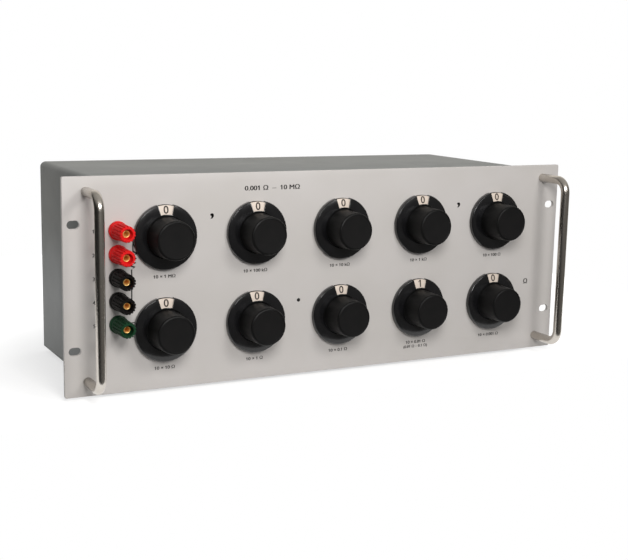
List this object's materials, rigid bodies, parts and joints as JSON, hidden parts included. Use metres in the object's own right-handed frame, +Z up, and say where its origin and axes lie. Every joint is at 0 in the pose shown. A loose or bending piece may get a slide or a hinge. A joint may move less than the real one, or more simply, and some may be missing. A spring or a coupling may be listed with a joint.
{
  "type": "decade resistance box",
  "caption": "Rack-mount decade resistance box: grey front panel with black switch knobs, number windows, coloured binding posts and bar handles, on a closed sheet-metal case.",
  "frame": {"origin": "on the bench under the middle of the whole box, at the bottom of the feet", "axes": "+X is the viewer's right along the panel, the front faces -Y, +Z is up"},
  "size_m": [0.4826, 0.2162, 0.1795],
  "materials": {
    "panel_paint": "satin paint",
    "case_paint": "satin paint",
    "bare_aluminium": "mill finish",
    "handle_chrome": "polished",
    "steel": "plated",
    "rubber": "matt",
    "black_plastic": "glossy",
    "red_plastic": "glossy",
    "green_plastic": "glossy",
    "cream_plastic": "matt",
    "wafer": "matt",
    "resistor": "lacquered",
    "wire": "bare",
    "gold_plate": "polished"
  },
  "bodies": {
    "box": {"front_panel": "panel_paint", "top_cover": "case_paint", "bottom_plate": "case_paint", "rear_panel": "case_paint", "side_brackets": "bare_aluminium", "left_handle": "handle_chrome", "right_handle": "handle_chrome", "handle_screws": "steel", "cover_screws": "steel", "rubber_feet": "rubber", "dial_backplates": "bare_aluminium", "dial_bezels": "black_plastic", "bushing_nuts": "steel", "switch_frames": "steel", "switch_wafers": "wafer", "decade_resistors": "resistor", "link_wires": "wire", "post_bases": "black_plastic", "post_studs": "gold_plate", "hex_nuts": "steel"},
    "decade_1": {"knob_1": "black_plastic", "number_dial_1": "cream_plastic", "switch_shaft_1": "steel"},
    "decade_2": {"knob_2": "black_plastic", "number_dial_2": "cream_plastic", "switch_shaft_2": "steel"},
    "decade_3": {"knob_3": "black_plastic", "number_dial_3": "cream_plastic", "switch_shaft_3": "steel"},
    "decade_4": {"knob_4": "black_plastic", "number_dial_4": "cream_plastic", "switch_shaft_4": "steel"},
    "decade_5": {"knob_5": "black_plastic", "number_dial_5": "cream_plastic", "switch_shaft_5": "steel"},
    "decade_6": {"knob_6": "black_plastic", "number_dial_6": "cream_plastic", "switch_shaft_6": "steel"},
    "decade_7": {"knob_7": "black_plastic", "number_dial_7": "cream_plastic", "switch_shaft_7": "steel"},
    "decade_8": {"knob_8": "black_plastic", "number_dial_8": "cream_plastic", "switch_shaft_8": "steel"},
    "decade_9": {"knob_9": "black_plastic", "number_dial_9": "cream_plastic", "switch_shaft_9": "steel"},
    "decade_10": {"knob_10": "black_plastic", "number_dial_10": "cream_plastic", "switch_shaft_10": "steel"},
    "collar_1": {"post_collar_1": "gold_plate"},
    "cap_1": {"post_cap_1": "red_plastic"},
    "collar_2": {"post_collar_2": "gold_plate"},
    "cap_2": {"post_cap_2": "red_plastic"},
    "collar_3": {"post_collar_3": "gold_plate"},
    "cap_3": {"post_cap_3": "black_plastic"},
    "collar_4": {"post_collar_4": "gold_plate"},
    "cap_4": {"post_cap_4": "black_plastic"},
    "collar_5": {"post_collar_5": "gold_plate"},
    "cap_5": {"post_cap_5": "green_plastic"}
  },
  "joints": [
    {"name": "decade_1_turn", "type": "hinge", "parent": "box", "child": "decade_1", "pos_m": [-0.1573, -0.06907, 0.1292], "axis": [0, 1, 0], "range_deg": [0, 300]},
    {"name": "decade_2_turn", "type": "hinge", "parent": "box", "child": "decade_2", "pos_m": [-0.076, -0.06907, 0.1292], "axis": [0, 1, 0], "range_deg": [0, 300]},
    {"name": "decade_3_turn", "type": "hinge", "parent": "box", "child": "decade_3", "pos_m": [0.0053, -0.06907, 0.1292], "axis": [0, 1, 0], "range_deg": [0, 300]},
    {"name": "decade_4_turn", "type": "hinge", "parent": "box", "child": "decade_4", "pos_m": [0.0866, -0.06907, 0.1292], "axis": [0, 1, 0], "range_deg": [0, 300]},
    {"name": "decade_5_turn", "type": "hinge", "parent": "box", "child": "decade_5", "pos_m": [0.1679, -0.06907, 0.1292], "axis": [0, 1, 0], "range_deg": [0, 300]},
    {"name": "decade_6_turn", "type": "hinge", "parent": "box", "child": "decade_6", "pos_m": [-0.1573, -0.06907, 0.0528], "axis": [0, 1, 0], "range_deg": [0, 300]},
    {"name": "decade_7_turn", "type": "hinge", "parent": "box", "child": "decade_7", "pos_m": [-0.076, -0.06907, 0.0528], "axis": [0, 1, 0], "range_deg": [0, 300]},
    {"name": "decade_8_turn", "type": "hinge", "parent": "box", "child": "decade_8", "pos_m": [0.0053, -0.06907, 0.0528], "axis": [0, 1, 0], "range_deg": [0, 300]},
    {"name": "decade_9_turn", "type": "hinge", "parent": "box", "child": "decade_9", "pos_m": [0.0866, -0.06907, 0.0528], "axis": [0, 1, 0], "range_deg": [-30, 270]},
    {"name": "decade_10_turn", "type": "hinge", "parent": "box", "child": "decade_10", "pos_m": [0.1679, -0.06907, 0.0528], "axis": [0, 1, 0], "range_deg": [0, 300]},
    {"name": "collar_1_slide", "type": "slide", "parent": "box", "child": "collar_1", "axis": [0, -1, 0], "range_m": [0, 0.0048]},
    {"name": "cap_1_turn", "type": "hinge", "parent": "collar_1", "child": "cap_1", "pos_m": [-0.1968, -0.06907, 0.1359], "axis": [0, -1, 0], "range_deg": [0, 2160]},
    {"name": "collar_2_slide", "type": "slide", "parent": "box", "child": "collar_2", "axis": [0, -1, 0], "range_m": [0, 0.0048]},
    {"name": "cap_2_turn", "type": "hinge", "parent": "collar_2", "child": "cap_2", "pos_m": [-0.1968, -0.06907, 0.11685], "axis": [0, -1, 0], "range_deg": [0, 2160]},
    {"name": "collar_3_slide", "type": "slide", "parent": "box", "child": "collar_3", "axis": [0, -1, 0], "range_m": [0, 0.0048]},
    {"name": "cap_3_turn", "type": "hinge", "parent": "collar_3", "child": "cap_3", "pos_m": [-0.1968, -0.06907, 0.0978], "axis": [0, -1, 0], "range_deg": [0, 2160]},
    {"name": "collar_4_slide", "type": "slide", "parent": "box", "child": "collar_4", "axis": [0, -1, 0], "range_m": [0, 0.0048]},
    {"name": "cap_4_turn", "type": "hinge", "parent": "collar_4", "child": "cap_4", "pos_m": [-0.1968, -0.06907, 0.07875], "axis": [0, -1, 0], "range_deg": [0, 2160]},
    {"name": "collar_5_slide", "type": "slide", "parent": "box", "child": "collar_5", "axis": [0, -1, 0], "range_m": [0, 0.0048]},
    {"name": "cap_5_turn", "type": "hinge", "parent": "collar_5", "child": "cap_5", "pos_m": [-0.1968, -0.06907, 0.0597], "axis": [0, -1, 0], "range_deg": [0, 2160]}
  ],
  "couplings": [
    {"joint": "cap_1_turn", "follows": "collar_1_slide", "rad_per_m": 7854},
    {"joint": "cap_2_turn", "follows": "collar_2_slide", "rad_per_m": 7854},
    {"joint": "cap_3_turn", "follows": "collar_3_slide", "rad_per_m": 7854},
    {"joint": "cap_4_turn", "follows": "collar_4_slide", "rad_per_m": 7854},
    {"joint": "cap_5_turn", "follows": "collar_5_slide", "rad_per_m": 7854}
  ]
}
